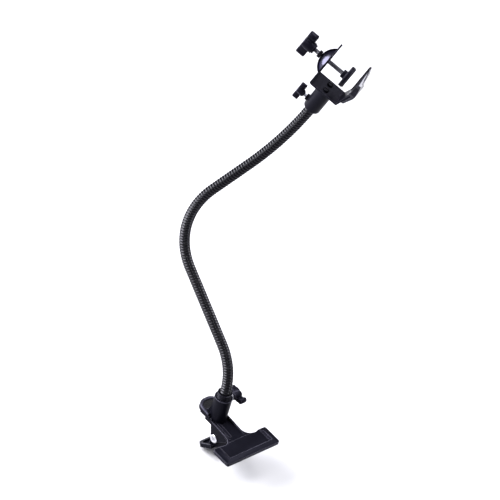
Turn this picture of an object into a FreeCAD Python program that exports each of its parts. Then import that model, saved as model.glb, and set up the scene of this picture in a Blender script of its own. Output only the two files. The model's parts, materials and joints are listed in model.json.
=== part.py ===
import FreeCAD, Part
import math
import os

import Sketcher
from FreeCAD import Placement, Rotation, Vector

# A spring clamp that grips a bench edge carries a flexible neck, and the neck carries a small
# screw clamp that holds a tool. X runs across the clamp's jaws, Y runs back along its handles
# and Z runs up the neck's tube. The origin is the centre of the gripping faces.

doc = FreeCAD.newDocument("HolderStand")
sheet = doc.addObject("Spreadsheet::Sheet", "Sizes")

sizes = {
    # clearances
    "runGap": 0.05,
    "pieceGap": 0.3,
    "seatGap": 0.1,
    "pressGap": 0.02,
    "lap": 0.01,
    # clamp plates and their rubber faces
    "jawWidth": 75,
    "jawDepth": 25.5,
    "jawCorner": 3,
    "plateEdge": 1.5,
    "plateRise": 1.9,
    "borderSide": 6,
    "borderEnd": 5,
    "recessDeep": 1.7,
    "fieldReach": 20,
    "padThick": 1.2,
    "padMargin": 2,
    "padProud": 0.15,
    # shoulders, spine, tube and ears of the upper jaw
    "shoulderWide": 44,
    "shoulderStart": 8,
    "scallop": 10.3,
    "scallopAside": 22,
    "scallopBack": 21.8,
    "spineWidth": 23,
    "spineBottom": -1.5,
    "spineFloor": 1.2,
    "spineWall": 1.8,
    "spineFront": 13.2,
    "railFront": 0.9,
    "railBack": 3.2,
    "valleyFront": 14,
    "ribWidth": 4.2,
    "ribAside": 6.3,
    "ribFront": 21.1,
    "ribBelow": 0.2,
    "tubeY": 48.8,
    "tubeOuter": 19.8,
    "tubeBore": 16.1,
    "tubeTop": 32.5,
    "tubeFloor": 7.5,
    "pivotY": 36.2,
    "pivotZ": -14.3,
    "earFront": 18.8,
    "earChin": -5.8,
    "earBack": 46,
    "earWall": 2.4,
    "earRound": 5.6,
    "earLap": 1,
    "earInset": 0.45,
    "earRise": 1.1,
    "pinThick": 4,
    "capWide": 10,
    "capThick": 1.5,
    "capEdge": 0.5,
    "pinShort": 0.2,
    # handles
    "handleWide": 27,
    "handleEnd": 73,
    "handleFront": 52,
    "handleBottom": 3.6,
    "handleThick": 4.6,
    "handleTilt": 6,
    "rootInset": 0.5,
    "rootBack": 2,
    "rootLow": 0.6,
    "rootThick": 4.2,
    "skirtBack": 4,
    "gripLong": 12,
    "gripWide": 19,
    "gripThick": 1.4,
    "gripProud": 0.5,
    "gripInset": 2.6,
    "gripEnd": 1.6,
    "lowerDrop": 34,
    "lowerLong": 22.2,
    "lowerStart": -2.2,
    "lowerBelow": 13.3,
    "lowerPlate": 2.4,
    "lowerRim": 2.6,
    # arms and floor that join the lower plate to the pivot and the handle
    "armFront": 4,
    "armCrest": 20,
    "armDrop": 0.9,
    "armBelly": 18,
    "armBellyDeep": 12,
    "armBack": 6.8,
    "armFoot": 4.4,
    "armHeel": 0.4,
    "armHeelUp": 0.2,
    "floorBack": 29,
    "floorBackUp": 14.4,
    "floorBackLow": 16.6,
    "floorRise": 9.6,
    # spring round the pivot pin
    "springWire": 1.3,
    "springSpace": 0.15,
    "springWide": 8,
    "springTurns": 4,
    "springUp": 30,
    "springDown": -20,
    "springUpLeg": 17.4,
    "springDownLeg": 13,
    "springRoom": 1.2,
    # neck
    "neckOuter": 11.8,
    "neckBore": 6.6,
    "neckStart": 39.4,
    "neckPlane": -52.3,
    "firstBend": 68,
    "firstTurn": -31.5,
    "firstRun": 107,
    "secondBend": 123,
    "secondTurn": 62,
    "secondRun": 55,
    "thirdBend": 114,
    "thirdTurn": -13,
    "neckPieces": 6,
    "seatRise": 2.3,
    "spigotWide": 16,
    "spigotDeep": 24,
    "neckDeep": 16,
    "collarGroove": 0.5,
    "collarGrooves": 3,
    "grooveOut": 0.15,
    # lock screw of the tube
    "lockBelow": 6.7,
    "lockRod": 5,
    "lockTurnIn": 7,
    "bushWide": 8.6,
    "bushProud": 2.2,
    "lockHub": 14.2,
    "lockHubWide": 9,
    "lockHubLong": 2.6,
    "lockBar": 23.5,
    "lockBarDeep": 8.5,
    "lockBarThick": 5.6,
    "lockBarTilt": 90,
    "knobStep": 1.1,
    "hubShare": 0.55,
    "wingRoot": 0.62,
    "bushInset": 0.4,
    # head socket and its lock screw
    "headTurn": -15,
    "socketOuter": 19,
    "socketBore": 16.1,
    "socketLong": 32.5,
    "socketDeep": 26,
    "socketRound": 1.5,
    "headLockUp": 7,
    "headLockRod": 4,
    "headBushWide": 7.4,
    "headBushProud": 2.4,
    "headHub": 14.6,
    "headHubWide": 7.4,
    "headHubLong": 2.6,
    "headBar": 18.5,
    "headBarDeep": 7,
    "headBarThick": 5,
    "headBarTilt": 12,
    "headTurnIn": 6,
    # bracket
    "stripWide": 24.5,
    "stripThick": 2,
    "webHalf": 16.6,
    "bendRadius": 3,
    "flangeTall": 49,
    "rodUp": 27.8,
    "tabOut": 6,
    "tabTall": 20,
    "screwApart": 10.9,
    "screwRod": 4,
    "screwHead": 6.8,
    "screwHeadThick": 2.2,
    "screwLong": 6,
    "slotWide": 1.1,
    "screwEase": 0.15,
    "screwShort": 0.2,
    # dome, nut, rod, knob and pad
    "domeWide": 32.4,
    "domeTall": 9,
    "domeSheet": 1,
    "domeLean": 1.4,
    "domeFlat": 0.3,
    "nutSeat": 0.8,
    "nutFlats": 8,
    "nutThick": 3.6,
    "rodThick": 5,
    "padFromFlange": 22.2,
    "discWide": 25,
    "discThick": 4.3,
    "facingThick": 1.2,
    "discHubWide": 9.5,
    "discHubLong": 4.2,
    "knobFromNut": 6.8,
    "knobHubWide": 12,
    "knobHubLong": 3.6,
    "knobBar": 30,
    "knobBarDeep": 10,
    "knobBarThick": 7,
    "knobBarTilt": 0,
    "knobBore": 8,
    "knobCollar": 1.8,
    "knobCollarIn": 1.6,
    "rodInPad": 0.75,
    "padHubLap": 0.5,
    "facingInset": 0.6,
    "rodEase": 0.3,
    # fixed jaw
    "jawInner": 4.4,
    "jawBelly": 11.8,
    "jawBellyUp": 21,
    "jawTall": 57,
    "jawTip": 6.0,
    "jawWaist": 9.2,
    "jawWaistUp": 33,
    "jawCrest": 10.4,
    "jawCrestUp": 46,
    "jawFoot": 5,
    "jawTipWide": 13,
    "jawTaperUp": 23,
    "jawTaperLong": 6,
    "jawFacing": 1.4,
    "jawFootOut": 0.4,
    "facingInsetUp": 1,
}

for row, (alias, value) in enumerate(sizes.items(), start=1):
    sheet.set(f"A{row}", alias)
    sheet.set(f"B{row}", str(value))
    sheet.setAlias(f"B{row}", alias)
doc.recompute()

subparts = []


def size(alias):
    return float(sheet.get(alias))


def rule(text):
    # every alias in an expression is read from the sheet
    words = text.replace("(", " ( ").replace(")", " ) ").split()
    return " ".join(f"Sizes.{word}" if word in sizes else word for word in words)


def bind(thing, **rules):
    for key, text in rules.items():
        thing.setExpression(key.replace("_", "."), rule(str(text)))
    return thing


def place(thing, at=("0", "0", "0"), turn=None):
    thing.Placement = Placement(Vector(), turn or Rotation())
    for letter, text in zip("xyz", at):
        thing.setExpression(f"Placement.Base.{letter}", rule(str(text)))
    return thing


alongX = Rotation(Vector(0, 1, 0), 90)
alongMinusX = Rotation(Vector(0, 1, 0), -90)


def rod(name, radius, length, at=("0", "0", "0"), turn=None):
    thing = bind(doc.addObject("Part::Cylinder", name), Radius=radius, Height=length)
    return place(thing, at, turn)


def block(name, long, wide, tall, at=("0", "0", "0"), turn=None):
    thing = bind(doc.addObject("Part::Box", name), Length=long, Width=wide, Height=tall)
    return place(thing, at, turn)


def frustum(name, lowLong, lowWide, topLong, topWide, tall, at=("0", "0", "0"), flip=False):
    # a rectangle at the bottom that slopes in to a smaller one at the top
    thing = doc.addObject("Part::Wedge", name)
    bind(thing, Xmin=f"0 - ( {lowLong} ) / 2", Xmax=f"( {lowLong} ) / 2",
         Zmin=f"0 - ( {lowWide} ) / 2", Zmax=f"( {lowWide} ) / 2",
         X2min=f"0 - ( {topLong} ) / 2", X2max=f"( {topLong} ) / 2",
         Z2min=f"0 - ( {topWide} ) / 2", Z2max=f"( {topWide} ) / 2",
         Ymin="0", Ymax=tall)
    return place(thing, at, Rotation(Vector(1, 0, 0), -90 if flip else 90))


def joined(name, pieces):
    thing = doc.addObject("Part::MultiFuse", name)
    thing.Shapes = pieces
    thing.Refine = True
    return thing


def less(name, base, tools):
    thing = doc.addObject("Part::Cut", name)
    thing.Base = base
    thing.Tool = tools[0] if len(tools) == 1 else joined(name + "Tools", tools)
    thing.Refine = True
    return thing


def shared(name, first, second):
    thing = doc.addObject("Part::Common", name)
    thing.Base = first
    thing.Tool = second
    return thing


def subpart(thing, label):
    thing.Label = label
    subparts.append(thing)
    return thing


def prism(name, corners, depth, plane="XY_Plane", at=("0", "0", "0"), turn=None):
    # a pad of a closed outline, half its depth to each side of the plane
    body = doc.addObject("PartDesign::Body", name)
    sketch = body.newObject("Sketcher::SketchObject", name + "Outline")
    face = next(item for item in body.Origin.OriginFeatures if item.Role == plane)
    sketch.AttachmentSupport = (face, "")
    sketch.MapMode = "FlatFace"
    count = len(corners)
    rules = [(rule(str(x)), rule(str(y))) for x, y in corners]
    spots = [Vector(value(x), value(y), 0) for x, y in rules]
    for k in range(count):
        sketch.addGeometry(Part.LineSegment(spots[k], spots[(k + 1) % count]), False)
    for k in range(count):
        sketch.addConstraint(Sketcher.Constraint("Coincident", k, 2, (k + 1) % count, 1))
    for k in range(count):
        across = sketch.addConstraint(Sketcher.Constraint("DistanceX", -1, 1, k, 1, spots[k].x))
        sketch.setExpression(f"Constraints[{across}]", rules[k][0])
        along = sketch.addConstraint(Sketcher.Constraint("DistanceY", -1, 1, k, 1, spots[k].y))
        sketch.setExpression(f"Constraints[{along}]", rules[k][1])
    pad = body.newObject("PartDesign::Pad", name + "Pad")
    pad.Profile = sketch
    pad.Midplane = True
    bind(pad, Length=depth)
    place(body, at, turn)
    return body


def value(text):
    return float(sheet.evalExpression(text))


def softened(body, radius, wanted):
    # rounds the edges of a body that the test picks
    doc.recompute()
    base = body.Tip
    names = [f"Edge{k}" for k, edge in enumerate(base.Shape.Edges, start=1) if wanted(edge)]
    fillet = body.newObject("PartDesign::Fillet", body.Name + "Round")
    fillet.Base = (base, names)
    bind(fillet, Radius=radius)
    body.Tip = fillet
    return body


def upright(edge):
    start, end = edge.Vertexes[0].Point, edge.Vertexes[-1].Point
    return abs(start.x - end.x) < 0.01 and abs(start.y - end.y) < 0.01


def roundedPlate(name, long, wide, thick, radius, at=("0", "0", "0")):
    corners = [(f"0 - ( {long} ) / 2", f"0 - ( {wide} ) / 2"), (f"( {long} ) / 2", f"0 - ( {wide} ) / 2"),
               (f"( {long} ) / 2", f"( {wide} ) / 2"), (f"0 - ( {long} ) / 2", f"( {wide} ) / 2")]
    return softened(prism(name, corners, thick, at=at), radius, upright)


# ---- clamp jaws

plateThick = "( plateEdge + plateRise )"
padSeat = "( pieceGap / 2 + padProud )"
topLong = "( jawWidth - 2 * borderSide )"
topWide = "( jawDepth - 2 * borderEnd )"


def jawPlate(name, above):
    # sloping border round a sunk field, with a shallow pocket for the rubber face
    sign = "" if above else "0 - "
    outline = roundedPlate(name + "Outline", "jawWidth", "jawDepth", "4 * plateRise + 4 * plateEdge", "jawCorner")
    slab = block(name + "Slab", "jawWidth", "jawDepth", "plateEdge",
                 ("0 - jawWidth / 2", "0 - jawDepth / 2",
                  padSeat if above else f"0 - {padSeat} - plateEdge"))
    slope = frustum(name + "Slope", "jawWidth", "jawDepth", topLong, topWide, "plateRise",
                    ("0", "0", f"{sign}( {padSeat} + plateEdge )"), flip=not above)
    # the upper plate's field runs out over its back edge, the lower one is closed all round
    front = f"( {topWide} / 2 - recessDeep )"
    back = "fieldReach" if above else front
    field = frustum(name + "Field", f"{topLong} - 4 * recessDeep", f"{back} + {front}",
                    f"{topLong} - recessDeep", f"{back} + {front} + recessDeep", "recessDeep",
                    ("0", f"( {back} - {front} ) / 2",
                     f"{sign}( {padSeat} + {plateThick} - recessDeep + lap )"), flip=not above)
    pocket = block(name + "Pocket", "jawWidth - 2 * padMargin + 2 * seatGap",
                   "jawDepth - 2 * padMargin + 2 * seatGap", "padThick",
                   ("0 - jawWidth / 2 + padMargin - seatGap", "0 - jawDepth / 2 + padMargin - seatGap",
                    "pieceGap / 2" if above else "0 - pieceGap / 2 - padThick"))
    whole = joined(name + "Whole", [slab, slope])
    return less(name, shared(name + "Shaped", whole, outline), [field]), pocket


def jawPad(label, above):
    pad = roundedPlate(label + "Body", "jawWidth - 2 * padMargin", "jawDepth - 2 * padMargin", "padThick",
                       "jawCorner / 2",
                       ("0", "0", "( pieceGap + padThick ) / 2" if above else "0 - ( pieceGap + padThick ) / 2"))
    return subpart(pad, label)


def feature(name, shape, placement=None):
    # a shape made by hand from the sheet's sizes
    thing = doc.addObject("Part::Feature", name)
    thing.Shape = shape
    if placement:
        thing.Placement = placement.multiply(shape.Placement)
    return thing


def handleOutline(long, wide, inset):
    # square at its root, with two round corners at its free end
    half, end, bend = wide / 2 - inset, long - inset, wide / 4 - inset / 2
    near = bend * (1 - math.sqrt(0.5))
    edges = [
        Part.LineSegment(Vector(-half, 0), Vector(half, 0)),
        Part.LineSegment(Vector(half, 0), Vector(half, end - bend)),
        Part.Arc(Vector(half, end - bend), Vector(half - near, end - near), Vector(half - bend, end)),
        Part.LineSegment(Vector(half - bend, end), Vector(bend - half, end)),
        Part.Arc(Vector(bend - half, end), Vector(near - half, end - near), Vector(-half, end - bend)),
        Part.LineSegment(Vector(-half, end - bend), Vector(-half, 0)),
    ]
    return Part.Face(Part.Wire([edge.toShape() for edge in edges]))


def tray():
    # the lower handle: a plate with a low rim round its hollow side
    long, wide, wall = size("lowerLong"), size("handleWide"), size("spineWall")
    tall = size("lowerPlate") + size("lowerRim")
    hollow = handleOutline(long, wide, wall).extrude(Vector(0, 0, tall))
    hollow.translate(Vector(0, -wall, size("lowerPlate")))
    return handleOutline(long, wide, 0).extrude(Vector(0, 0, tall)).cut(hollow)


def upperJaw():
    plate, pocket = jawPlate("upperPlate", True)
    half = "spineWidth / 2"
    level = f"{padSeat} + {plateThick} - recessDeep"
    shoulder = prism("shoulder", [("shoulderStart / 2", padSeat), ("shoulderStart / 2", level),
                                  ("shoulderStart", level), ("scallopBack", "railFront"),
                                  ("scallopBack", "spineBottom"), ("spineFront", "spineBottom"),
                                  ("spineFront", padSeat)], "shoulderWide", "YZ_Plane")
    scallops = [rod("scallop" + name, "scallop", "4 * spineWidth",
                    (f"{side} * scallopAside", "scallopBack", "0 - 2 * spineWidth"))
                for side, name in ((1, "Right"), (-1, "Left"))]
    spineEnd = "tubeY + spineWall"
    spine = prism("spine", [("scallopBack - spineWall", "spineBottom"), ("scallopBack - spineWall", "railFront"),
                            ("scallopBack", "railFront"), (spineEnd, "railBack"), (spineEnd, "spineBottom")],
                  "spineWidth", "YZ_Plane")
    valleyLow = "spineBottom + spineFloor"
    valley = prism("spineValley", [("valleyFront", f"{valleyLow} + 2"), ("scallopBack - spineFloor", valleyLow),
                                   (spineEnd, valleyLow), (spineEnd, "tubeTop"), ("valleyFront", "tubeTop")],
                   "spineWidth - 2 * spineWall", "YZ_Plane")
    channel = less("channel", joined("channelWhole", [less("plateAndShoulder", joined("frontWhole", [plate, shoulder]),
                                                           scallops), spine]), [valley])
    rib = prism("rib", [("ribFront", "spineBottom"), ("ribFront", "railFront - ribBelow"),
                        ("tubeY", "railBack - ribBelow"), ("tubeY", "spineBottom")], "ribWidth", "YZ_Plane",
                ("0 - ribAside", "0", "0"))
    ribNose = rod("ribNose", "ribWidth / 2", "railFront - ribBelow - spineBottom",
                  ("0 - ribAside", "ribFront", "spineBottom"))
    corners = [("earFront", "earChin"), ("earFront", "spineBottom + earLap"),
               ("earBack", "spineBottom + earLap"), ("pivotY + earRound - earInset", "pivotZ - earRise"),
               ("pivotY - earRound + earInset", "pivotZ - earRise")]
    ears = []
    for side, name in ((1, "Right"), (-1, "Left")):
        middle = f"{side} * ( spineWidth / 2 - earWall / 2 )"
        ears.append(prism("ear" + name, corners, "earWall", "YZ_Plane", (middle, "0", "0")))
        ears.append(rod("earRound" + name, "earRound", "earWall",
                        (f"{middle} - earWall / 2", "pivotY", "pivotZ"), alongX))
    tube = rod("tubeWall", "tubeOuter / 2", "tubeTop - spineBottom", ("0", "tubeY", "spineBottom"))
    tilt = Rotation(Vector(1, 0, 0), size("handleTilt"))
    start = Vector(0, size("handleFront"), size("handleBottom"))
    handle = feature("handlePlate",
                     handleOutline(size("handleEnd") - size("handleFront"), size("handleWide"), 0).extrude(
                         Vector(0, 0, size("handleThick"))), Placement(start, tilt))
    cheek = block("handleRoot", "handleWide - 2 * rootInset", "handleWide / 2", "rootThick",
                  ("0 - handleWide / 2 + rootInset", "handleFront - rootBack", "handleBottom - rootLow"))
    skirt = block("handleSkirt", "spineWidth", "handleFront - tubeY + rootBack + skirtBack",
                  "handleBottom - spineBottom + rootBack",
                  (f"0 - {half}", "tubeY - rootBack", "spineBottom"))
    gripSeat = gripBlock("upperGripSeat", "seatGap")
    bore = rod("tubeHole", "tubeBore / 2", "tubeTop", ("0", "tubeY", "tubeFloor"))
    drain = rod("tubeDrain", "neckBore / 2", "tubeTop", ("0", "tubeY", "spineBottom - 1"))
    pinHole = rod("earHole", "pinThick / 2 + pressGap", "2 * spineWidth", ("0 - spineWidth", "pivotY", "pivotZ"), alongX)
    bushHole = rod("bushHole", "bushWide / 2 + pressGap", "tubeOuter",
                   ("0", "tubeY", "tubeTop - lockBelow"), alongX)
    solid = joined("upperSolid", [channel, rib, ribNose, tube, handle, cheek, skirt] + ears)
    return subpart(less("upperJaw", solid, [bore, drain, pinHole, bushHole, gripSeat, pocket]), "upper_jaw")


def gripBlock(name, grow):
    # follows the slope of the handle's top
    tilt = Rotation(Vector(1, 0, 0), size("handleTilt"))
    slope = math.tan(math.radians(size("handleTilt")))
    back = "handleEnd - gripLong - gripEnd"
    return block(name, f"gripWide + 2 * {grow}", f"gripLong + 2 * {grow}", "gripThick",
                 (f"0 - gripWide / 2 - {grow}", f"{back} - {grow}",
                  f"handleBottom + handleThick + ( {back} - {grow} - handleFront ) * {slope:.5f}"
                  " - gripThick + gripProud"),
                 tilt)


def upperGrip():
    return subpart(gripBlock("upperGrip", "0"), "upper_grip")


def lowerFrame():
    start = Vector(0, size("pivotY") + size("lowerStart"), size("pivotZ") - size("lowerBelow"))
    return Placement(start, Rotation(Vector(1, 0, 0), -size("lowerDrop")))


def lowerJaw():
    plate, pocket = jawPlate("lowerPlateBody", False)
    inner = "( spineWidth / 2 - earWall - pieceGap )"
    arm = [("armFront", f"0 - {padSeat} - plateEdge"), ("armCrest", f"0 - {padSeat} - plateEdge - armDrop"),
           ("pivotY + earLap", "pivotZ + earRound"), ("pivotY + earRound", "pivotZ + pinThick / 2"),
           ("pivotY + armBack", "pivotZ - lowerBelow - armFoot"),
           ("pivotY + lowerStart + armHeel", "pivotZ - lowerBelow + armHeelUp"),
           ("armBelly", "0 - armBellyDeep"), ("armFront", f"0 - {padSeat} - {plateThick}")]
    pieces = [plate]
    for side, name in ((1, "Right"), (-1, "Left")):
        middle = f"{side} * ( {inner} - earWall / 2 )"
        pieces.append(prism("arm" + name, arm, "earWall", "YZ_Plane", (middle, "0", "0")))
    floor = [("armFront", f"0 - {padSeat} - {plateThick}"), ("armBelly", "0 - armBellyDeep"),
             ("floorBack - earLap", "0 - floorBackLow"), ("floorBack", "0 - floorBackUp"),
             ("armBelly + earLap", "0 - floorRise"), ("armFront", f"0 - {padSeat} - plateEdge")]
    pieces.append(prism("armFloor", floor, f"2 * {inner}", "YZ_Plane"))
    pieces.append(feature("lowerTray", tray(), lowerFrame()))
    pinHole = rod("armHole", "pinThick / 2 + runGap", "2 * spineWidth",
                  ("0 - spineWidth", "pivotY", "pivotZ"), alongX)
    springRoom = rod("springRoom", "springWide / 2 + springRoom", f"2 * {inner} - 2 * earWall",
                     (f"earWall - {inner}", "pivotY", "pivotZ"), alongX)
    seat = lowerGripShape(size("seatGap"))
    return subpart(less("lowerJaw", joined("lowerSolid", pieces),
                        [pinHole, springRoom, pocket, feature("lowerGripSeat", seat, lowerFrame())]),
                   "lower_jaw")


def lowerGripShape(grow):
    long, wide, thick = size("gripLong"), size("gripWide"), size("gripThick")
    shape = Part.makeBox(wide + 2 * grow, long + 2 * grow, thick)
    back = size("lowerLong") - long - size("gripInset")
    shape.translate(Vector(-wide / 2 - grow, back - grow, -size("gripProud")))
    return shape


def lowerGrip():
    return subpart(feature("lowerGrip", lowerGripShape(0), lowerFrame()), "lower_grip")


def pivot():
    half = "( spineWidth / 2 + capThick )"
    pin = rod("pivotPin", "pinThick / 2", f"2 * {half} - 2 * pinShort",
              (f"pinShort - {half}", "pivotY", "pivotZ"), alongX)
    subpart(pin, "pivot_pin")
    for side, label in ((1, "pivot_cap_right"), (-1, "pivot_cap_left")):
        turn = alongX if side > 0 else alongMinusX
        washer = rod(label + "Flat", "capWide / 2", "capThick - capEdge",
                     (f"{side} * spineWidth / 2", "pivotY", "pivotZ"), turn)
        rise = bind(doc.addObject("Part::Cone", label + "Rise"), Radius1="capWide / 2",
                    Radius2="capWide / 2 - 2 * capEdge", Height="capEdge")
        place(rise, (f"{side} * ( spineWidth / 2 + capThick - capEdge )", "pivotY", "pivotZ"), turn)
        hole = rod(label + "Hole", "pinThick / 2 + pressGap", "capThick - pinShort",
                   (f"{side} * spineWidth / 2", "pivotY", "pivotZ"), turn)
        subpart(less(label + "Body", joined(label + "Whole", [washer, rise]), [hole]), label)


def spring():
    # a wound wire whose two straight legs push the handles apart
    wire, radius = size("springWire"), (size("springWide") - size("springWire")) / 2
    pitch = wire + size("springSpace")
    up, down = size("springUp"), size("springDown")
    turned = 360 * size("springTurns") + 180 - up + down
    turns = turned / 360
    ring = Part.Wire([Part.makeCircle(wire / 2, Vector(radius, 0, 0), Vector(0, 1, 0))])
    coil = Part.Wire(Part.makeHelix(pitch, pitch * turns, radius)).makePipeShell([ring], True, True)
    first = Part.makeCylinder(wire / 2, size("springUpLeg"), Vector(radius, 0, 0), Vector(0, -1, 0))
    end = math.radians(turned)
    second = Part.makeCylinder(wire / 2, size("springDownLeg"),
                               Vector(radius * math.cos(end), radius * math.sin(end), pitch * turns),
                               Vector(-math.sin(end), math.cos(end), 0))
    turn = Rotation(Vector(1, 0, 0), 90 + up).multiply(Rotation(Vector(1, 1, 1), 120))
    start = Vector(-pitch * turns / 2, size("pivotY"), size("pivotZ"))
    return subpart(feature("torsionSpring", coil.fuse([first, second]), Placement(start, turn)),
                   "torsion_spring")


# ---- neck

def neckRuns():
    return [("firstBend", "firstTurn"), ("firstRun", None), ("secondBend", "secondTurn"),
            ("secondRun", None), ("thirdBend", "thirdTurn")]


neckLength = sum(size(run) for run, turn in neckRuns())


def neckFrame(distance):
    # position and direction along the neck: Z leads up the neck, X stays in the plane of its bends
    across, up, lean, left = 0.0, 0.0, 0.0, distance
    for run, turn in neckRuns():
        step = min(left, size(run))
        bend = math.radians(size(turn)) * step / size(run) if turn else 0
        if bend:
            radius = step / bend
            across += radius * (math.cos(lean) - math.cos(lean + bend))
            up += radius * (math.sin(lean + bend) - math.sin(lean))
        else:
            across += step * math.sin(lean)
            up += step * math.cos(lean)
        lean += bend
        left -= step
        if left <= 0:
            break
    plane = Rotation(Vector(0, 0, 1), size("neckPlane"))
    base = Vector(0, size("tubeY"), size("neckStart"))
    return Placement(base + plane.multVec(Vector(across, 0, up)),
                     plane.multiply(Rotation(Vector(0, 1, 0), math.degrees(lean))))


def neckBreaks():
    total, spots = 0.0, [0.0]
    for run, turn in neckRuns():
        total += size(run)
        spots.append(total)
    return spots


def neckTube(start, end, outer, bore):
    # straight lengths and arcs, joined where the neck's curvature changes
    spots = [start] + [spot for spot in neckBreaks() if start < spot < end] + [end]
    pieces = []
    for low, high in zip(spots[:-1], spots[1:]):
        frame, top = neckFrame(low), neckFrame(high)
        ring = Part.Face(Part.Wire(Part.makeCircle(outer / 2))).cut(
            Part.Face(Part.Wire(Part.makeCircle(bore / 2)))).Faces[0]
        ring.Placement = frame
        far = frame.inverse().multVec(top.Base)
        bend = 2 * math.atan2(far.x, far.z)
        if abs(bend) < 1e-6:
            pieces.append(ring.extrude(top.Base - frame.Base))
            continue
        centre = frame.multVec(Vector((high - low) / bend, 0, 0))
        pieces.append(ring.revolve(centre, frame.Rotation.multVec(Vector(0, 1, 0)), math.degrees(bend)))
    whole = pieces[0]
    for piece in pieces[1:]:
        whole = whole.fuse(piece)
    return whole.removeSplitter()


def plug(outer, bore, long):
    return Part.makeCylinder(outer / 2, long).cut(Part.makeCylinder(bore / 2, long))


def neck():
    # each length ends in a round knuckle that the next one's seat turns on
    outer, bore, deep = size("neckOuter"), size("neckBore"), size("neckDeep")
    count = int(size("neckPieces"))
    pitch = neckLength / count
    for k in range(count):
        start = k * pitch + size("seatRise") if k else 0
        end = (k + 1) * pitch
        whole = neckTube(start, end, outer, bore)
        if k == 0:
            low = plug(outer, bore, deep)
            low.Placement = Placement(neckFrame(0).Base - Vector(0, 0, deep), Rotation())
            whole = whole.fuse(low)
        else:
            whole = whole.cut(Part.makeSphere(outer / 2 + size("pieceGap"), neckFrame(k * pitch).Base))
        if k == count - 1:
            end = plug(outer, bore, deep)
            end.Placement = neckFrame(neckLength)
            whole = whole.fuse(end)
        else:
            knuckle = Part.makeSphere(outer / 2).common(Part.makeCylinder(outer, outer))
            knuckle = knuckle.cut(Part.makeCylinder(bore / 2, 3 * outer, Vector(0, 0, -outer)))
            knuckle.Placement = neckFrame(end)
            whole = whole.fuse(knuckle)
        subpart(feature(f"neckSegment{k + 1}", whole.removeSplitter()), f"neck_segment_{k + 1}")


def spigots():
    # the plugs that the neck's two ends are set in
    gap, radius = size("runGap"), size("spigotWide") / 2
    low, top = size("tubeFloor") + size("pieceGap"), size("neckStart")
    neckHole = size("neckOuter") / 2 + gap
    base = Part.makeCylinder(radius, top - low, Vector(0, 0, low))
    base = base.cut(Part.makeCylinder(neckHole, size("neckDeep"), Vector(0, 0, top - size("neckDeep"))))
    base = base.cut(Part.makeCylinder(size("neckBore") / 2, top))
    bare = top - size("tubeTop")
    count = int(size("collarGrooves"))
    for k in range(count):
        height = size("tubeTop") + bare * (k + 0.6) / (count + 0.2)
        base = base.cut(Part.makeTorus(radius + size("grooveOut"), size("collarGroove"), Vector(0, 0, height)))
    subpart(feature("baseSpigot", base, Placement(Vector(0, size("tubeY"), 0), Rotation())), "neck_base_spigot")
    deep = size("spigotDeep")
    upper = Part.makeCylinder(radius, deep, Vector(0, 0, size("pieceGap")))
    upper = upper.cut(Part.makeCylinder(neckHole, size("neckDeep") + gap))
    upper = upper.cut(Part.makeCylinder(size("neckBore") / 2, 2 * deep))
    subpart(feature("topSpigot", upper, neckFrame(neckLength)), "neck_top_spigot")


# ---- knobs and lock screws

def wingKnob(bar, deep, thick, hubWide, hubLong, bore, boreDeep):
    # two wings set off to either side of a hub, which stands below them along Z
    step = size("knobStep")
    whole = Part.makeCylinder(hubWide / 2, hubLong + deep * size("hubShare"))
    whole = whole.fuse(Part.makeCylinder(thick * size("wingRoot"), deep, Vector(0, 0, hubLong)))
    for side in (1, -1):
        reach = bar / 2 - thick / 2
        wing = Part.makeBox(reach, thick, deep, Vector(0, -thick / 2, hubLong))
        wing = wing.fuse(Part.makeCylinder(thick / 2, deep, Vector(reach, 0, hubLong)))
        wing.translate(Vector(0, step, 0))
        wing.rotate(Vector(), Vector(0, 0, 1), 0 if side > 0 else 180)
        whole = whole.fuse(wing)
    whole = whole.removeSplitter()
    return whole.cut(Part.makeCylinder(bore / 2, boreDeep))


def lockAxis():
    # Z leads out along the screw, from the middle of the tube
    start = Vector(0, size("tubeY"), size("tubeTop") - size("lockBelow"))
    return Placement(start, Rotation(Vector(0, 1, 0), 90))


def bush(outer, inner, start, long):
    return Part.makeCylinder(outer / 2, long, Vector(0, 0, start)).cut(
        Part.makeCylinder(inner / 2, long, Vector(0, 0, start)))


def baseLock():
    gap = size("runGap")
    inside = size("tubeBore") / 2 + size("bushInset")
    proud = size("tubeOuter") / 2 + size("bushProud")
    subpart(feature("baseNut", bush(size("bushWide"), size("lockRod") + 2 * gap, inside, proud - inside),
                    lockAxis()), "base_lock_bush")
    start = size("spigotWide") / 2 + size("pieceGap")
    end = size("lockHub") + size("lockTurnIn")
    screw = Part.makeCylinder(size("lockRod") / 2, end - start, Vector(0, 0, start))
    subpart(feature("baseRod", screw, lockAxis()), "base_lock_rod")
    knob = wingKnob(size("lockBar"), size("lockBarDeep"), size("lockBarThick"), size("lockHubWide"),
                    size("lockHubLong"), size("lockRod") + 2 * gap, size("lockTurnIn") + size("pieceGap"))
    spot = lockAxis().multiply(Placement(Vector(0, 0, size("lockHub")),
                                         Rotation(Vector(0, 0, 1), size("lockBarTilt"))))
    subpart(feature("baseKnob", knob, spot), "base_lock_knob")


# ---- head

def headFrame():
    # X leads across the bracket, Z up its socket, from the middle of the socket's lower rim
    top = neckFrame(neckLength)
    return top.multiply(Placement(Vector(), Rotation(Vector(0, 0, 1), size("headTurn"))))


def headPart(name, shape, label):
    return subpart(feature(name, shape, headFrame()), label)


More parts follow.
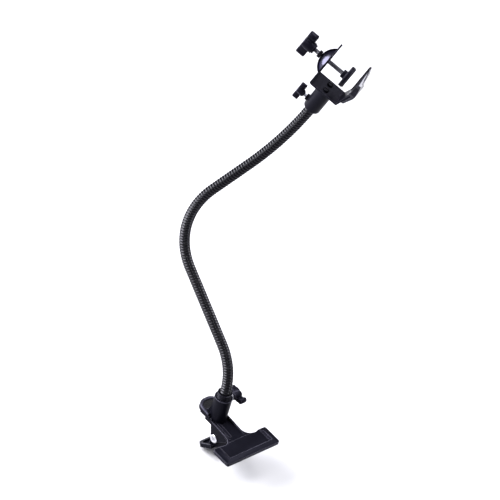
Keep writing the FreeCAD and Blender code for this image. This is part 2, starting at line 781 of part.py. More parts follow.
def headSocket():
    outer, long = size("socketOuter") / 2, size("socketLong")
    shape = Part.makeCylinder(outer, long)
    shape = shape.cut(Part.makeCylinder(size("socketBore") / 2, size("socketDeep")))
    rim = [edge for edge in shape.Edges if abs(edge.BoundBox.ZMax) < 0.01
           and abs(edge.BoundBox.XLength - 2 * outer) < 0.01]
    shape = shape.makeFillet(min(size("socketRound"), outer - size("socketBore") / 2 - 2 * size("seatGap")), rim)
    for side in (1, -1):
        shape = shape.cut(Part.makeCylinder(size("screwRod") / 2 + size("pressGap"), size("screwLong"),
                                            Vector(0, side * size("screwApart") / 2, long - size("screwLong"))))
    across = Part.makeCylinder(size("headBushWide") / 2 + size("pressGap"), 2 * outer)
    across.Placement = headLockAxis()
    headPart("headSocket", shape.cut(across), "head_socket")


def headLockAxis():
    return Placement(Vector(0, 0, size("headLockUp")), Rotation(Vector(0, 1, 0), -90))


def headLock():
    gap = size("runGap")
    inside = size("socketBore") / 2 + size("bushInset")
    proud = size("socketOuter") / 2 + size("headBushProud")
    spot = headFrame().multiply(headLockAxis())
    subpart(feature("headBush", bush(size("headBushWide"), size("headLockRod") + 2 * gap, inside,
                                     proud - inside), spot), "head_lock_bush")
    start = size("spigotWide") / 2 + size("pieceGap")
    end = size("headHub") + size("headTurnIn")
    subpart(feature("headRod", Part.makeCylinder(size("headLockRod") / 2, end - start, Vector(0, 0, start)),
                    spot), "head_lock_rod")
    knob = wingKnob(size("headBar"), size("headBarDeep"), size("headBarThick"), size("headHubWide"),
                    size("headHubLong"), size("headLockRod") + 2 * gap, size("headTurnIn") + size("pieceGap"))
    turn = Placement(Vector(0, 0, size("headHub")), Rotation(Vector(0, 0, 1), size("headBarTilt")))
    subpart(feature("headKnob", knob, spot.multiply(turn)), "head_lock_knob")


def strip(points, thick, wide):
    # points run along the strip's inner face, and its outer face lies to their right
    outer = []
    count = len(points)
    normals = []
    for (x1, z1), (x2, z2) in zip(points[:-1], points[1:]):
        long = math.hypot(x2 - x1, z2 - z1)
        normals.append(((z2 - z1) / long, (x1 - x2) / long))
    for k, (x, z) in enumerate(points):
        if k in (0, count - 1):
            nx, nz = normals[0 if k == 0 else -1]
            outer.append((x + nx * thick, z + nz * thick))
            continue
        (ax, az), (bx, bz) = normals[k - 1], normals[k]
        share = thick / (1 + ax * bx + az * bz)
        outer.append((x + (ax + bx) * share, z + (az + bz) * share))
    loop = list(points) + outer[::-1]
    wire = Part.makePolygon([Vector(x, -wide / 2, z) for x, z in loop + loop[:1]])
    return Part.Face(wire).extrude(Vector(0, wide, 0))


def tabPoints():
    top = size("socketLong") + size("stripThick")
    half = size("webHalf")
    return [(half, top), (half + size("tabOut"), top + size("tabTall"))]


def headBracket():
    thick, wide = size("stripThick"), size("stripWide")
    top = size("socketLong") + thick
    half = size("webHalf")
    points = [(-half, top + size("flangeTall") - thick), (-half, top)] + tabPoints()
    shape = strip(points, thick, wide)
    corners = [edge for edge in shape.Edges if edge.BoundBox.YLength > wide - 0.01
               and abs(edge.Vertexes[0].X + half) < thick + 0.01
               and abs(edge.Vertexes[0].Z - top) < thick + 0.01]
    outerEdge = [edge for edge in corners if edge.Vertexes[0].X < -half - 0.01]
    innerEdge = [edge for edge in corners if edge.Vertexes[0].X > -half - 0.01]
    shape = shape.makeFillet(size("bendRadius"), outerEdge)
    shape = shape.makeFillet(size("bendRadius") - thick, [
        edge for edge in shape.Edges if edge.BoundBox.YLength > wide - 0.01
        and abs(edge.Vertexes[0].X + half) < 0.01 and abs(edge.Vertexes[0].Z - top) < 0.01])
    hole = Part.makeCylinder(size("rodThick") / 2 + size("rodEase"), 4 * thick, Vector(-half - 2 * thick, 0, rodHeight()),
                             Vector(1, 0, 0))
    shape = shape.cut(hole)
    for side in (1, -1):
        shape = shape.cut(Part.makeCylinder(size("screwRod") / 2 + size("screwEase"), 3 * thick,
                                            Vector(0, side * size("screwApart") / 2, top - 2 * thick)))
    headPart("headBracket", shape, "head_bracket")


def bracketScrews():
    top = size("socketLong") + size("stripThick")
    screws = []
    for side in (1, -1):
        spot = Vector(0, side * size("screwApart") / 2, 0)
        head = Part.makeCylinder(size("screwHead") / 2, size("screwHeadThick"), spot + Vector(0, 0, top))
        rim = [edge for edge in head.Edges if abs(edge.BoundBox.ZMin - top - size("screwHeadThick")) < 0.01]
        head = head.makeFillet(size("screwHeadThick") / 2, rim)
        shank = Part.makeCylinder(size("screwRod") / 2, size("screwLong") + size("stripThick") - size("screwShort"),
                                  spot + Vector(0, 0, size("socketLong") - size("screwLong") + size("screwShort")))
        slot = Part.makeBox(size("screwHead"), size("slotWide"), size("screwHeadThick"),
                            spot + Vector(-size("screwHead") / 2, -size("slotWide") / 2,
                                          top + size("screwHeadThick") / 2))
        screws.append(head.fuse(shank).cut(slot).removeSplitter())
    headPart("bracketScrews", Part.makeCompound(screws), "bracket_screws")


def rodHeight():
    return size("socketLong") + size("stripThick") + size("rodUp")


def rodAxis():
    # Z leads out from the flange's outer face, along the clamp screw
    start = Vector(-size("webHalf") - size("stripThick"), 0, rodHeight())
    return headFrame().multiply(Placement(start, Rotation(Vector(0, 1, 0), -90)))


def domeCap(wide, tall):
    # the part of a ball above a flat that is this wide
    radius = (wide * wide / 4 + tall * tall) / (2 * tall)
    return Part.makeSphere(radius, Vector(0, 0, tall - radius)).common(Part.makeCylinder(wide, tall + 1))


def domeCup():
    wide, tall, skin = size("domeWide"), size("domeTall"), size("domeSheet")
    shape = domeCap(wide, tall).cut(domeCap(wide - 2 * skin * size("domeLean"), tall - skin))
    shape = shape.cut(Part.makeCylinder(size("nutFlats") / 2 + size("nutSeat"), skin,
                                        Vector(0, 0, tall - size("domeFlat"))))
    shape = shape.cut(Part.makeCylinder(size("rodThick") / 2 + size("rodEase"), 2 * tall))
    subpart(feature("domeCup", shape, rodAxis()), "dome_cup")


def hexagon(flats, thick, start):
    radius = flats / math.sqrt(3)
    corners = [Vector(radius * math.cos(math.radians(60 * k)), radius * math.sin(math.radians(60 * k)), start)
               for k in range(7)]
    return Part.Face(Part.makePolygon(corners)).extrude(Vector(0, 0, thick))


def clampScrew():
    gap, radius = size("runGap"), size("rodThick") / 2
    low = size("domeTall") - size("domeFlat")
    nut = hexagon(size("nutFlats"), size("nutThick"), low)
    nut = nut.cut(Part.makeCylinder(radius + gap, 3 * size("nutThick"), Vector(0, 0, low - 1)))
    subpart(feature("rodNut", nut, rodAxis()), "rod_nut")
    hub = low + size("nutThick") + size("knobFromNut")
    seat = size("stripThick") + size("padFromFlange")
    inside = -(seat - size("discHubLong")) - size("discHubLong") * size("rodInPad")
    rodShape = Part.makeCylinder(radius, hub + size("knobBore") - inside, Vector(0, 0, inside))
    subpart(feature("clampRod", rodShape, rodAxis()), "clamp_rod")
    knob = wingKnob(size("knobBar"), size("knobBarDeep"), size("knobBarThick"), size("knobHubWide"),
                    size("knobHubLong"), size("rodThick") + 2 * gap, size("knobBore"))
    collar = size("knobCollar")
    knob = knob.fuse(Part.makeCylinder(size("knobHubWide") / 2 - size("knobCollarIn"), collar,
                                       Vector(0, 0, -collar)).cut(
        Part.makeCylinder(radius + gap, 3 * collar, Vector(0, 0, -2 * collar))))
    turn = Placement(Vector(0, 0, hub), Rotation(Vector(0, 0, 1), size("knobBarTilt")))
    subpart(feature("clampKnob", knob, rodAxis().multiply(turn)), "clamp_knob")
    disc = Part.makeCylinder(size("discWide") / 2, size("discThick"), Vector(0, 0, -seat - size("discThick")))
    rims = [edge for edge in disc.Edges if abs(edge.BoundBox.ZMin + seat) < 0.01]
    disc = disc.makeFillet(size("discThick") / 4, rims)
    disc = disc.fuse(Part.makeCylinder(size("discHubWide") / 2, size("discHubLong") + size("padHubLap"),
                                       Vector(0, 0, -seat - size("padHubLap"))))
    disc = disc.cut(Part.makeCylinder(radius + gap, 3 * size("discHubLong"),
                                      Vector(0, 0, inside - size("pieceGap"))))
    subpart(feature("pressurePad", disc, rodAxis()), "pressure_pad")
    facing = Part.makeCylinder(size("discWide") / 2 - size("facingInset"), size("facingThick"),
                               Vector(0, 0, -seat - size("discThick") - size("facingThick")))
    subpart(feature("padFacing", facing, rodAxis()), "pad_facing")


def fixedJaw():
    # a moulded block over the bracket's raised end, thick at its belly and thin at its tip
    half, top = size("webHalf"), size("socketLong") + size("stripThick")
    inner, up, tall = size("jawInner"), size("jawBellyUp"), size("jawTall")
    foot = size("jawFoot")
    tab = tabPoints()
    belly = half + size("jawBelly")
    profile = [(half + inner - size("jawFacing"), top + foot), (half + inner, top + up), (half + inner, top + tall),
               (half + size("jawTip"), top + tall), (half + size("jawCrest"), top + size("jawCrestUp")),
               (half + size("jawWaist"), top + size("jawWaistUp")), (belly, top + up + foot / 4),
               (belly - foot / 8, top + up - foot / 2), (half + size("tabOut") + size("jawFootOut"), top + foot + 1)]
    wide = size("stripWide")
    wire = Part.makePolygon([Vector(x, -wide / 2, z) for x, z in profile + profile[:1]])
    body = Part.Face(wire).extrude(Vector(0, wide, 0))
    for side in (1, -1):
        tipHalf = size("jawTipWide") / 2
        shoulder = top + size("jawTaperUp")
        corners = [(side * tipHalf, shoulder + size("jawTaperLong")), (side * wide / 2, shoulder),
                   (side * wide, shoulder), (side * wide, top + 2 * tall), (side * tipHalf, top + 2 * tall)]
        cutter = Part.Face(Part.makePolygon([Vector(0, y, z) for y, z in corners + corners[:1]]))
        body = body.cut(cutter.extrude(Vector(3 * half, 0, 0)))
    gap = size("seatGap")
    slope = math.atan2(size("tabOut"), size("tabTall"))
    (x1, z1), (x2, z2) = tab
    along = (math.sin(slope), math.cos(slope))
    low = (x1 - along[0] * 2 - gap * along[1], z1 - along[1] * 2 + gap * along[0])
    high = (x2 + along[0] * gap - gap * along[1], z2 + along[1] * gap + gap * along[0])
    slot = strip([low, high], size("stripThick") + 2 * gap, wide + 2)
    headPart("fixedJaw", body.cut(slot).removeSplitter(), "fixed_jaw")
    inset = size("facingInsetUp")
    facing = Part.makeBox(size("jawFacing"), size("jawTipWide"), tall - up - 2 * inset,
                          Vector(half + inner - size("jawFacing"), -size("jawTipWide") / 2, top + up + inset))
    headPart("jawFacing", facing, "jaw_facing")


for label, above in (("upper_jaw_pad", True), ("lower_jaw_pad", False)):
    jawPad(label, above)
upperJaw()
upperGrip()
lowerJaw()
lowerGrip()
pivot()
spring()
baseLock()
neck()
spigots()
headSocket()
headLock()
headBracket()
bracketScrews()
domeCup()
clampScrew()
fixedJaw()
doc.recompute()

faults = [item.Name for item in doc.Objects if {"Invalid", "Error"} & set(item.State)]
for thing in subparts:
    if thing.Shape.isNull() or not thing.Shape.isValid():
        faults.append(thing.Label)
if faults:
    raise SystemExit(f"these objects failed: {faults}")

os.makedirs("parts", exist_ok=True)
for thing in subparts:
    thing.Shape.exportStep(f"parts/{thing.Label}.step")
    print(thing.Label, len(thing.Shape.Solids), round(thing.Shape.Volume, 1))
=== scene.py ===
import json
import math

import bmesh
import bpy
import numpy as np
from mathutils import Matrix, Vector


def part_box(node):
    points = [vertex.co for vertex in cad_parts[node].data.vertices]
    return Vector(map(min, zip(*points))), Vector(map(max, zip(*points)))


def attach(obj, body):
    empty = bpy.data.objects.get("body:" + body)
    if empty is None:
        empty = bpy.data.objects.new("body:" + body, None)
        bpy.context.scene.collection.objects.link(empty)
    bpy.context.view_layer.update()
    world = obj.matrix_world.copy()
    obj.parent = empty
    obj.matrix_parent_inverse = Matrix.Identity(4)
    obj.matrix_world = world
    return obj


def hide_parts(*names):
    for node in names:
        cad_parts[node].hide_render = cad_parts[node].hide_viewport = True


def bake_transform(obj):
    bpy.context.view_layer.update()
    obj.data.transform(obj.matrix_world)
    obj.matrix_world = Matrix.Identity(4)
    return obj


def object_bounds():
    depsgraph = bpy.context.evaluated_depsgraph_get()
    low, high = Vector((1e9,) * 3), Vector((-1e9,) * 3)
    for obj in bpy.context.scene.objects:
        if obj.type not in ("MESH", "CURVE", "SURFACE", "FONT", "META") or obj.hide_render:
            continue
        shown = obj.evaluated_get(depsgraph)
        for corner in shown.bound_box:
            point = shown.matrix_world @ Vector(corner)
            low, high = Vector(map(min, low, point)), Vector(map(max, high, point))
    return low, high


# Looks for a bench-clamp holder: spring clamp, flexible neck and a small screw clamp on top.
# Metres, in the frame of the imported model.

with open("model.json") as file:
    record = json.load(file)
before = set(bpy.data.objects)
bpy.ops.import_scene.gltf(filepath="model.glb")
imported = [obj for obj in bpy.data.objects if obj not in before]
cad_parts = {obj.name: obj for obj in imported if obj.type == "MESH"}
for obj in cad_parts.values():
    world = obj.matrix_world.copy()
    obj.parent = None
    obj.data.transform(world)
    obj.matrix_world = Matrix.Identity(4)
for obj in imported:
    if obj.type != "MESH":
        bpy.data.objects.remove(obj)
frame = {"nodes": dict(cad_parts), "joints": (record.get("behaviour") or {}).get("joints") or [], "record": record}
cadBox = [list(corner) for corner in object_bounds()]
nodes = frame["nodes"]
joints = {joint["name"]: joint for joint in frame["joints"]}
mm = 0.001


# ---- camera, light and floor

cameraSetup = {
    "right": Vector((0.741, -0.635, 0.217)),   # directions of the view, in the object's frame
    "up": Vector((0.327, 0.624, 0.710)),
    "aside": 4.0 * mm,                         # what the view's centre looks at, from the origin
    "above": 209.95 * mm,
    "near": 145 * mm,                          # the middle of the object's depth
    "distance": 18.0,                          # a long lens, so that hardly anything converges
    "across": 0.529,                           # width of what is seen
}


def makeCamera():
    right = cameraSetup["right"].normalized()
    up = (cameraSetup["up"] - right * cameraSetup["up"].dot(right)).normalized()
    back = right.cross(up)
    data = bpy.data.cameras.new("camera")
    data.sensor_width = 36
    data.lens = data.sensor_width * cameraSetup["distance"] / cameraSetup["across"]
    data.clip_start = 1
    data.clip_end = 60
    camera = bpy.data.objects.new("camera", data)
    bpy.context.scene.collection.objects.link(camera)
    target = right * cameraSetup["aside"] + up * cameraSetup["above"] + back * cameraSetup["near"]
    camera.matrix_world = Matrix((right, up, back)).transposed().to_4x4()
    camera.location = target + back * cameraSetup["distance"]
    bpy.context.scene.camera = camera
    return right, up, back


lights = {
    # name: (sideways, up, towards the camera, size, power, colour), from the middle of the object
    "keySoft": (-0.9, 1.9, 0.9, 0.9, 24, (1.0, 1.0, 1.0)),
    "leftSoft": (-2.05, 1.7, -0.37, 2.3, 235, (0.96, 0.96, 1.0)),
    "fillWide": (1.9, 0.6, 1.0, 1.0, 22, (0.90, 0.92, 1.0)),
    "topStrip": (0.5, 2.1, -0.9, 0.9, 36, (0.97, 0.97, 1.0)),
}
surroundings = {"colour": (0.90, 0.89, 1.0, 1), "strength": 0.56}


def makeLights(right, up, back):
    middle = Vector((0, 0.02, 0.24))
    for name, (side, rise, near, wide, power, colour) in lights.items():
        data = bpy.data.lights.new(name, "AREA")
        data.shape = "DISK"
        data.size = wide
        data.energy = power
        data.color = colour
        lamp = bpy.data.objects.new(name, data)
        bpy.context.scene.collection.objects.link(lamp)
        lamp.location = middle + right * side + Vector((0, 0, 1)) * rise + back * near
        lamp.rotation_euler = (middle - lamp.location).to_track_quat("-Z", "Y").to_euler()
    world = bpy.data.worlds.new("studio")
    world.use_nodes = True
    background = world.node_tree.nodes["Background"]
    background.inputs["Color"].default_value = surroundings["colour"]
    background.inputs["Strength"].default_value = surroundings["strength"]
    bpy.context.scene.world = world
    bpy.context.scene.view_settings.view_transform = "Standard"


floorPaper = {"colour": (0.44, 0.44, 0.445, 1), "rough": 0.9, "half": 6.0, "below": 2 * mm}


def makeFloor():
    low, half = cadBox[0][2] - floorPaper["below"], floorPaper["half"]
    mesh = bpy.data.meshes.new("floor")
    mesh.from_pydata([(-half, -half, low), (half, -half, low), (half, half, low), (-half, half, low)], [],
                     [(0, 1, 2, 3)])
    floor = bpy.data.objects.new("floor", mesh)
    bpy.context.scene.collection.objects.link(floor)
    paper = bpy.data.materials.new("floorPaper")
    paper.use_nodes = True
    shader = paper.node_tree.nodes["Principled BSDF"]
    shader.inputs["Base Color"].default_value = floorPaper["colour"]
    shader.inputs["Roughness"].default_value = floorPaper["rough"]
    mesh.materials.append(paper)


viewRight, viewUp, viewBack = makeCamera()
makeLights(viewRight, viewUp, viewBack)
makeFloor()
print("stage: camera, lights and floor")


# ---- shader maths

class Value:
    # a socket of a material, so that arithmetic on it adds the Math nodes
    def __init__(self, finish, socket):
        self.finish, self.socket = finish, socket

    def maths(self, operation, *others):
        values = dict(enumerate((self, *others)))
        return self.finish.add("ShaderNodeMath", {"operation": operation}, values)

    def __add__(self, other):
        return self.maths("ADD", other)

    def __sub__(self, other):
        return self.maths("SUBTRACT", other)

    def __rsub__(self, other):
        return self.finish.add("ShaderNodeMath", {"operation": "SUBTRACT"}, {0: other, 1: self})

    def __mul__(self, other):
        return self.maths("MULTIPLY", other)

    def __truediv__(self, other):
        return self.maths("DIVIDE", other)

    def __pow__(self, other):
        return self.maths("POWER", other)

    __radd__ = __add__
    __rmul__ = __mul__


class Finish:
    # one material: a Principled shader and the nodes that feed it
    def __init__(self, name, **constants):
        self.material = bpy.data.materials.new(name)
        self.material.use_nodes = True
        self.tree = self.material.node_tree
        self.shader = self.tree.nodes["Principled BSDF"]
        for key, setting in constants.items():
            self.shader.inputs[key.replace("_", " ")].default_value = setting

    def add(self, kind, settings=None, sockets=None, out=0):
        node = self.tree.nodes.new(kind)
        for key, setting in (settings or {}).items():
            if key == "stops":
                ramp = node.color_ramp
                while len(ramp.elements) < len(setting):
                    ramp.elements.new(0.5)
                for element, (spot, colour) in zip(ramp.elements, setting):
                    element.position, element.color = spot, colour
            else:
                setattr(node, key, setting)
        for key, given in (sockets or {}).items():
            self.put(node.inputs[key], given)
        return Value(self, node.outputs[out])

    def put(self, socket, given):
        if isinstance(given, Value):
            self.tree.links.new(given.socket, socket)
        else:
            socket.default_value = given

    def feed(self, **inputs):
        for key, given in inputs.items():
            self.put(self.shader.inputs[key.replace("_", " ")], given)

    def spot(self, name="Object"):
        return self.add("ShaderNodeTexCoord", out=name)

    def stretched(self, where, scale):
        return self.add("ShaderNodeMapping", {}, {"Vector": where, "Scale": scale})

    def speckle(self, where, scale, detail=3, rough=0.55):
        return self.add("ShaderNodeTexNoise", {}, {"Vector": where, "Scale": scale, "Detail": detail,
                                                   "Roughness": rough})

    def ramp(self, value, low, high):
        # 0 below low, 1 above high
        return self.add("ShaderNodeMapRange", {"interpolation_type": "SMOOTHSTEP"},
                        {"Value": value, "From Min": low, "From Max": high})

    def blend(self, share, first, second):
        return self.add("ShaderNodeMix", {"data_type": "RGBA"}, {0: share, 6: first, 7: second}, out=2)

    def edges(self, radius):
        # the normal rounded over each edge, and how near an outward edge each point is
        soft = self.add("ShaderNodeBevel", {"samples": 4}, {"Radius": radius})
        flat = self.add("ShaderNodeNewGeometry", out="Normal")
        same = self.add("ShaderNodeVectorMath", {"operation": "DOT_PRODUCT"}, {0: soft, 1: flat}, out="Value")
        outward = self.add("ShaderNodeAmbientOcclusion", {"samples": 4}, {"Distance": radius * 2.5}, out="AO")
        return soft, self.ramp(1 - same, 0.004, 0.09) * self.ramp(outward, 0.74, 0.96)

    def bump(self, height, strength, distance, under=None):
        sockets = {"Height": height, "Strength": strength, "Distance": distance}
        if under:
            sockets["Normal"] = under
        return self.add("ShaderNodeBump", {}, sockets)


def tone(red, green, blue):
    return (red, green, blue, 1)


finishes = {}


def finished(slot, finish):
    finishes[slot] = finish.material
    return finish


mouldedPlastic = {
    # slot: (colour, worn colour, roughness, grain size per metre, grain depth, shine)
    "clamp_plastic": (tone(0.0018, 0.0018, 0.0032), tone(0.0053, 0.0053, 0.0086), 0.38, 1500, 0.05, 0.045),
    "knob_plastic": (tone(0.0020, 0.0019, 0.0035), tone(0.0061, 0.0058, 0.0086), 0.36, 2100, 0.08, 0.07),
    "pad_plastic": (tone(0.0018, 0.0018, 0.0029), tone(0.0050, 0.0050, 0.0076), 0.40, 1800, 0.05, 0.045),
    "rim_plastic": (tone(0.0022, 0.0022, 0.0038), tone(0.0070, 0.0068, 0.0105), 0.34, 1500, 0.05, 0.30),
}


mouldEdgeWearAndHighlight = {"round": 0.0011, "colour": tone(0.105, 0.102, 0.130)}   # edge rounding, and a pale colour painted along outward edges as a highlight, partly handling wear


def makeMouldedPlastic():
    # spark-eroded grain, faint flow marks, handling scuffs, and a pale painted highlight along outward edges that
    # is partly handling wear
    for slot, (colour, worn, rough, grain, depth, shine) in mouldedPlastic.items():
        finish = finished(slot, Finish(slot, IOR=1.5, Specular_IOR_Level=shine,
                                       Specular_Tint=tone(0.72, 0.70, 1.0)))
        where = finish.spot()
        soft, paleShare = finish.edges(mouldEdgeWearAndHighlight["round"])
        fine = finish.speckle(where, grain, 2, 0.6)
        broad = finish.speckle(where, 38, 4, 0.55)
        flow = finish.speckle(finish.stretched(where, (60, 60, 12)), 1.6, 3, 0.5)
        scratch = finish.speckle(finish.stretched(where, (900, 60, 160)), 1.0, 2, 0.4)
        scuffs = finish.ramp(scratch, 0.66, 0.74) * finish.ramp(broad, 0.5, 0.7)
        hand = finish.ramp(broad, 0.42, 0.66) * 0.5 + flow * 0.3
        surface = finish.blend(hand * 0.55 + scuffs * 0.5, colour, worn)
        # the outward-edge mask paints a pale highlight along the edges, partly handling wear
        paleShare = paleShare * (0.45 + finish.ramp(broad, 0.35, 0.65) * 0.55)
        finish.feed(Base_Color=finish.blend(paleShare, surface, mouldEdgeWearAndHighlight["colour"]),
                    Roughness=(rough + (broad - 0.5) * 0.16 + (flow - 0.5) * 0.08 - scuffs * 0.07
                               - paleShare * 0.12),
                    Normal=finish.bump(fine, depth * 2.2, 0.0001,
                                       finish.bump(flow, 0.12, 0.0006, soft)))


rubberFinish = {
    "rubber_face": (tone(0.0034, 0.0034, 0.0042), tone(0.0092, 0.0092, 0.0105), 0.78),
    "grip_rubber": (tone(0.0025, 0.0025, 0.0034), tone(0.0084, 0.0084, 0.0101), 0.62),
    "felt_rubber": (tone(0.0042, 0.0042, 0.0055), tone(0.0118, 0.0118, 0.0134), 0.85),
}


def makeRubber():
    for slot, (colour, dusty, rough) in rubberFinish.items():
        finish = finished(slot, Finish(slot, IOR=1.48, Specular_IOR_Level=0.12, Sheen_Weight=0.02,
                                       Sheen_Roughness=0.5))
        where = finish.spot()
        pores = finish.speckle(where, 2600, 2, 0.7)
        dust = finish.ramp(finish.speckle(where, 120, 5, 0.6), 0.45, 0.75)
        finish.feed(Base_Color=finish.blend(dust * 0.6, colour, dusty),
                    Roughness=rough + (dust - 0.5) * 0.12,
                    Normal=finish.bump(pores, 0.25, 0.0001))


platedMetal = {
    # slot: (colour, dull colour, roughness, how fine its polishing lines are)
    "bright_nickel": (tone(0.66, 0.66, 0.70), tone(0.44, 0.43, 0.44), 0.17, 0.5),
    "zinc_steel": (tone(0.40, 0.40, 0.43), tone(0.20, 0.20, 0.21), 0.24, 1.0),
    "spring_steel": (tone(0.17, 0.17, 0.19), tone(0.07, 0.07, 0.08), 0.30, 1.4),
}


def makePlatedMetal():
    for slot, (colour, dull, rough, lines) in platedMetal.items():
        finish = finished(slot, Finish(slot, Metallic=1.0))
        where = finish.spot()
        cloud = finish.speckle(where, 180, 4, 0.6)
        drawn = finish.speckle(finish.stretched(where, (400, 2600, 2600)), 1.0, 3, 0.5)
        stain = finish.ramp(cloud, 0.52, 0.78)
        finish.feed(Base_Color=finish.blend(stain * 0.55 + (drawn - 0.5) * 0.35 * lines, colour, dull),
                    Roughness=rough + stain * 0.14 + (drawn - 0.5) * 0.18 * lines,
                    Normal=finish.bump(drawn, 0.10 * lines, 0.0001))


coatedSteel = {
    # slot: (colour, second colour, roughness, orange peel per metre, peel depth, coat)
    "neck_coat": (tone(0.0005, 0.0005, 0.0009), tone(0.0022, 0.0022, 0.0036), 0.20, 900, 0.05, 0.32),
    "collar_black": (tone(0.0017, 0.0017, 0.0027), tone(0.0050, 0.0050, 0.0076), 0.28, 900, 0.10, 0.12),
    "socket_black": (tone(0.0025, 0.0025, 0.0042), tone(0.0059, 0.0059, 0.0092), 0.32, 1300, 0.14, 0.03),
    "bracket_black": (tone(0.0025, 0.0025, 0.0042), tone(0.0059, 0.0059, 0.0088), 0.34, 1500, 0.18, 0.02),
    "screw_black": (tone(0.0013, 0.0013, 0.0017), tone(0.0059, 0.0055, 0.0055), 0.34, 1200, 0.12, 0.0),
}


coatEdgeWearAndHighlight = {"round": 0.0006, "colour": tone(0.0440, 0.0435, 0.0578)}    # edge rounding, and a pale colour painted along outward edges as a highlight, partly where the coat wears thin


def makeCoatedSteel():
    # powder coat with its fine orange peel, rubbed thin in patches, and a pale painted highlight along outward
    # edges that is partly worn coat
    for slot, (colour, second, rough, peel, depth, coat) in coatedSteel.items():
        finish = finished(slot, Finish(slot, IOR=1.52, Coat_Roughness=0.14, Specular_IOR_Level=0.055,
                                       Specular_Tint=tone(0.72, 0.70, 1.0), Coat_Weight=coat))
        where = finish.spot()
        soft, wornAndLitEdge = finish.edges(coatEdgeWearAndHighlight["round"])
        skin = finish.speckle(where, peel, 2, 0.5)
        patch = finish.speckle(where, 70, 4, 0.6)
        paleShare = finish.ramp(patch, 0.5, 0.72)
        surface = finish.blend(paleShare * 0.6 + (skin - 0.5) * 0.4, colour, second)
        # outward edges get a pale painted highlight, partly where the coat wears thin
        wornAndLitEdge = wornAndLitEdge * (0.4 + paleShare * 0.6)
        finish.feed(Base_Color=finish.blend(wornAndLitEdge, surface, coatEdgeWearAndHighlight["colour"]),
                    Roughness=rough - paleShare * 0.08 + (skin - 0.5) * 0.14 - wornAndLitEdge * 0.08,
                    Normal=finish.bump(skin, depth * 2, 0.00015, soft))


jawGloss = {"colour": tone(0.0015, 0.0015, 0.0025), "second": tone(0.0042, 0.0042, 0.0067), "rough": 0.20}


def makeJawGloss():
    # the jaw's enamel is smoother than the bracket's powder coat
    finish = finished("jaw_gloss", Finish("jaw_gloss", IOR=1.5, Specular_IOR_Level=0.42,
                                          Specular_Tint=tone(0.86, 0.86, 1.0)))
    where = finish.spot()
    soft, wornAndLitEdge = finish.edges(coatEdgeWearAndHighlight["round"])
    cloud = finish.ramp(finish.speckle(where, 90, 4, 0.6), 0.4, 0.75)
    fine = finish.speckle(where, 1100, 2, 0.5)
    # outward edges are lightened towards the second colour as a painted highlight, partly wear
    finish.feed(Base_Color=finish.blend(cloud + wornAndLitEdge * 0.6, jawGloss["colour"], jawGloss["second"]),
                Roughness=jawGloss["rough"] + cloud * 0.10 + (fine - 0.5) * 0.08,
                Normal=finish.bump(fine, 0.12, 0.0001, soft))


domePaint = {"colour": tone(0.042, 0.041, 0.057), "haze": tone(0.056, 0.055, 0.072), "rough": 0.21}


def makeDomePaint():
    finish = finished("dome_gloss", Finish("dome_gloss", Metallic=1.0, Specular_Tint=tone(0.10, 0.10, 0.15)))
    where = finish.spot()
    haze = finish.ramp(finish.speckle(where, 160, 4, 0.6), 0.45, 0.75)
    ripple = finish.speckle(where, 420, 2, 0.5)
    finish.feed(Base_Color=finish.blend(haze, domePaint["colour"], domePaint["haze"]),
                Roughness=domePaint["rough"] + haze * 0.07,
                Normal=finish.bump(ripple, 0.05, 0.0002))


makeMouldedPlastic()
makeRubber()
makePlatedMetal()
makeCoatedSteel()
makeJawGloss()
makeDomePaint()
print("stage: finishes", len(finishes))


# ---- meshes

slotOf = {part["node"]: part["material_slot"] for part in frame["record"]["subparts"]}
weldGap = 2e-6           # points this close are one
pointed = 0.02 * mm      # radius at which a turned piece is closed
bodyOf = {node: body for body, members in frame["record"]["behaviour"]["bodies"].items() for node in members}


def newPiece(name, mesh, slot, sharp=38):
    mesh.materials.clear()
    mesh.materials.append(finishes[slot])
    mesh.shade_smooth()
    mesh.set_sharp_from_angle(angle=math.radians(sharp))
    piece = bpy.data.objects.new(name, mesh)
    bpy.context.scene.collection.objects.link(piece)
    return piece


def stands(piece, *names):
    # the piece takes the place of these nodes, on the body of the first
    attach(piece, bodyOf[names[0]])
    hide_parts(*names)
    return piece


def rounded(node, radius, segments=2, angle=32, moved=None):
    # the node's own shape with its edges broken, as a mould or a deburred sheet leaves them
    mesh = nodes[node].data.copy()
    work = bmesh.new()
    work.from_mesh(mesh)
    if moved:
        for point in work.verts:
            point.co = moved(point.co)
    bmesh.ops.remove_doubles(work, verts=work.verts, dist=weldGap)
    bmesh.ops.dissolve_limit(work, angle_limit=math.radians(0.6), verts=work.verts, edges=work.edges)
    edges = [edge for edge in work.edges if len(edge.link_faces) == 2
             and edge.calc_face_angle(0) > math.radians(angle)]
    bmesh.ops.bevel(work, geom=edges, offset=radius, segments=segments, profile=0.5, affect="EDGES",
                    clamp_overlap=True)
    work.to_mesh(mesh)
    work.free()
    piece = newPiece(node + "Soft", mesh, slotOf[node])
    weighted = piece.modifiers.new("weighted", "WEIGHTED_NORMAL")
    weighted.keep_sharp = True
    return stands(piece, node)


def finishedMesh(work, name):
    mesh = bpy.data.meshes.new(name)
    bmesh.ops.recalc_face_normals(work, faces=work.faces)
    work.to_mesh(mesh)
    work.free()
    return mesh


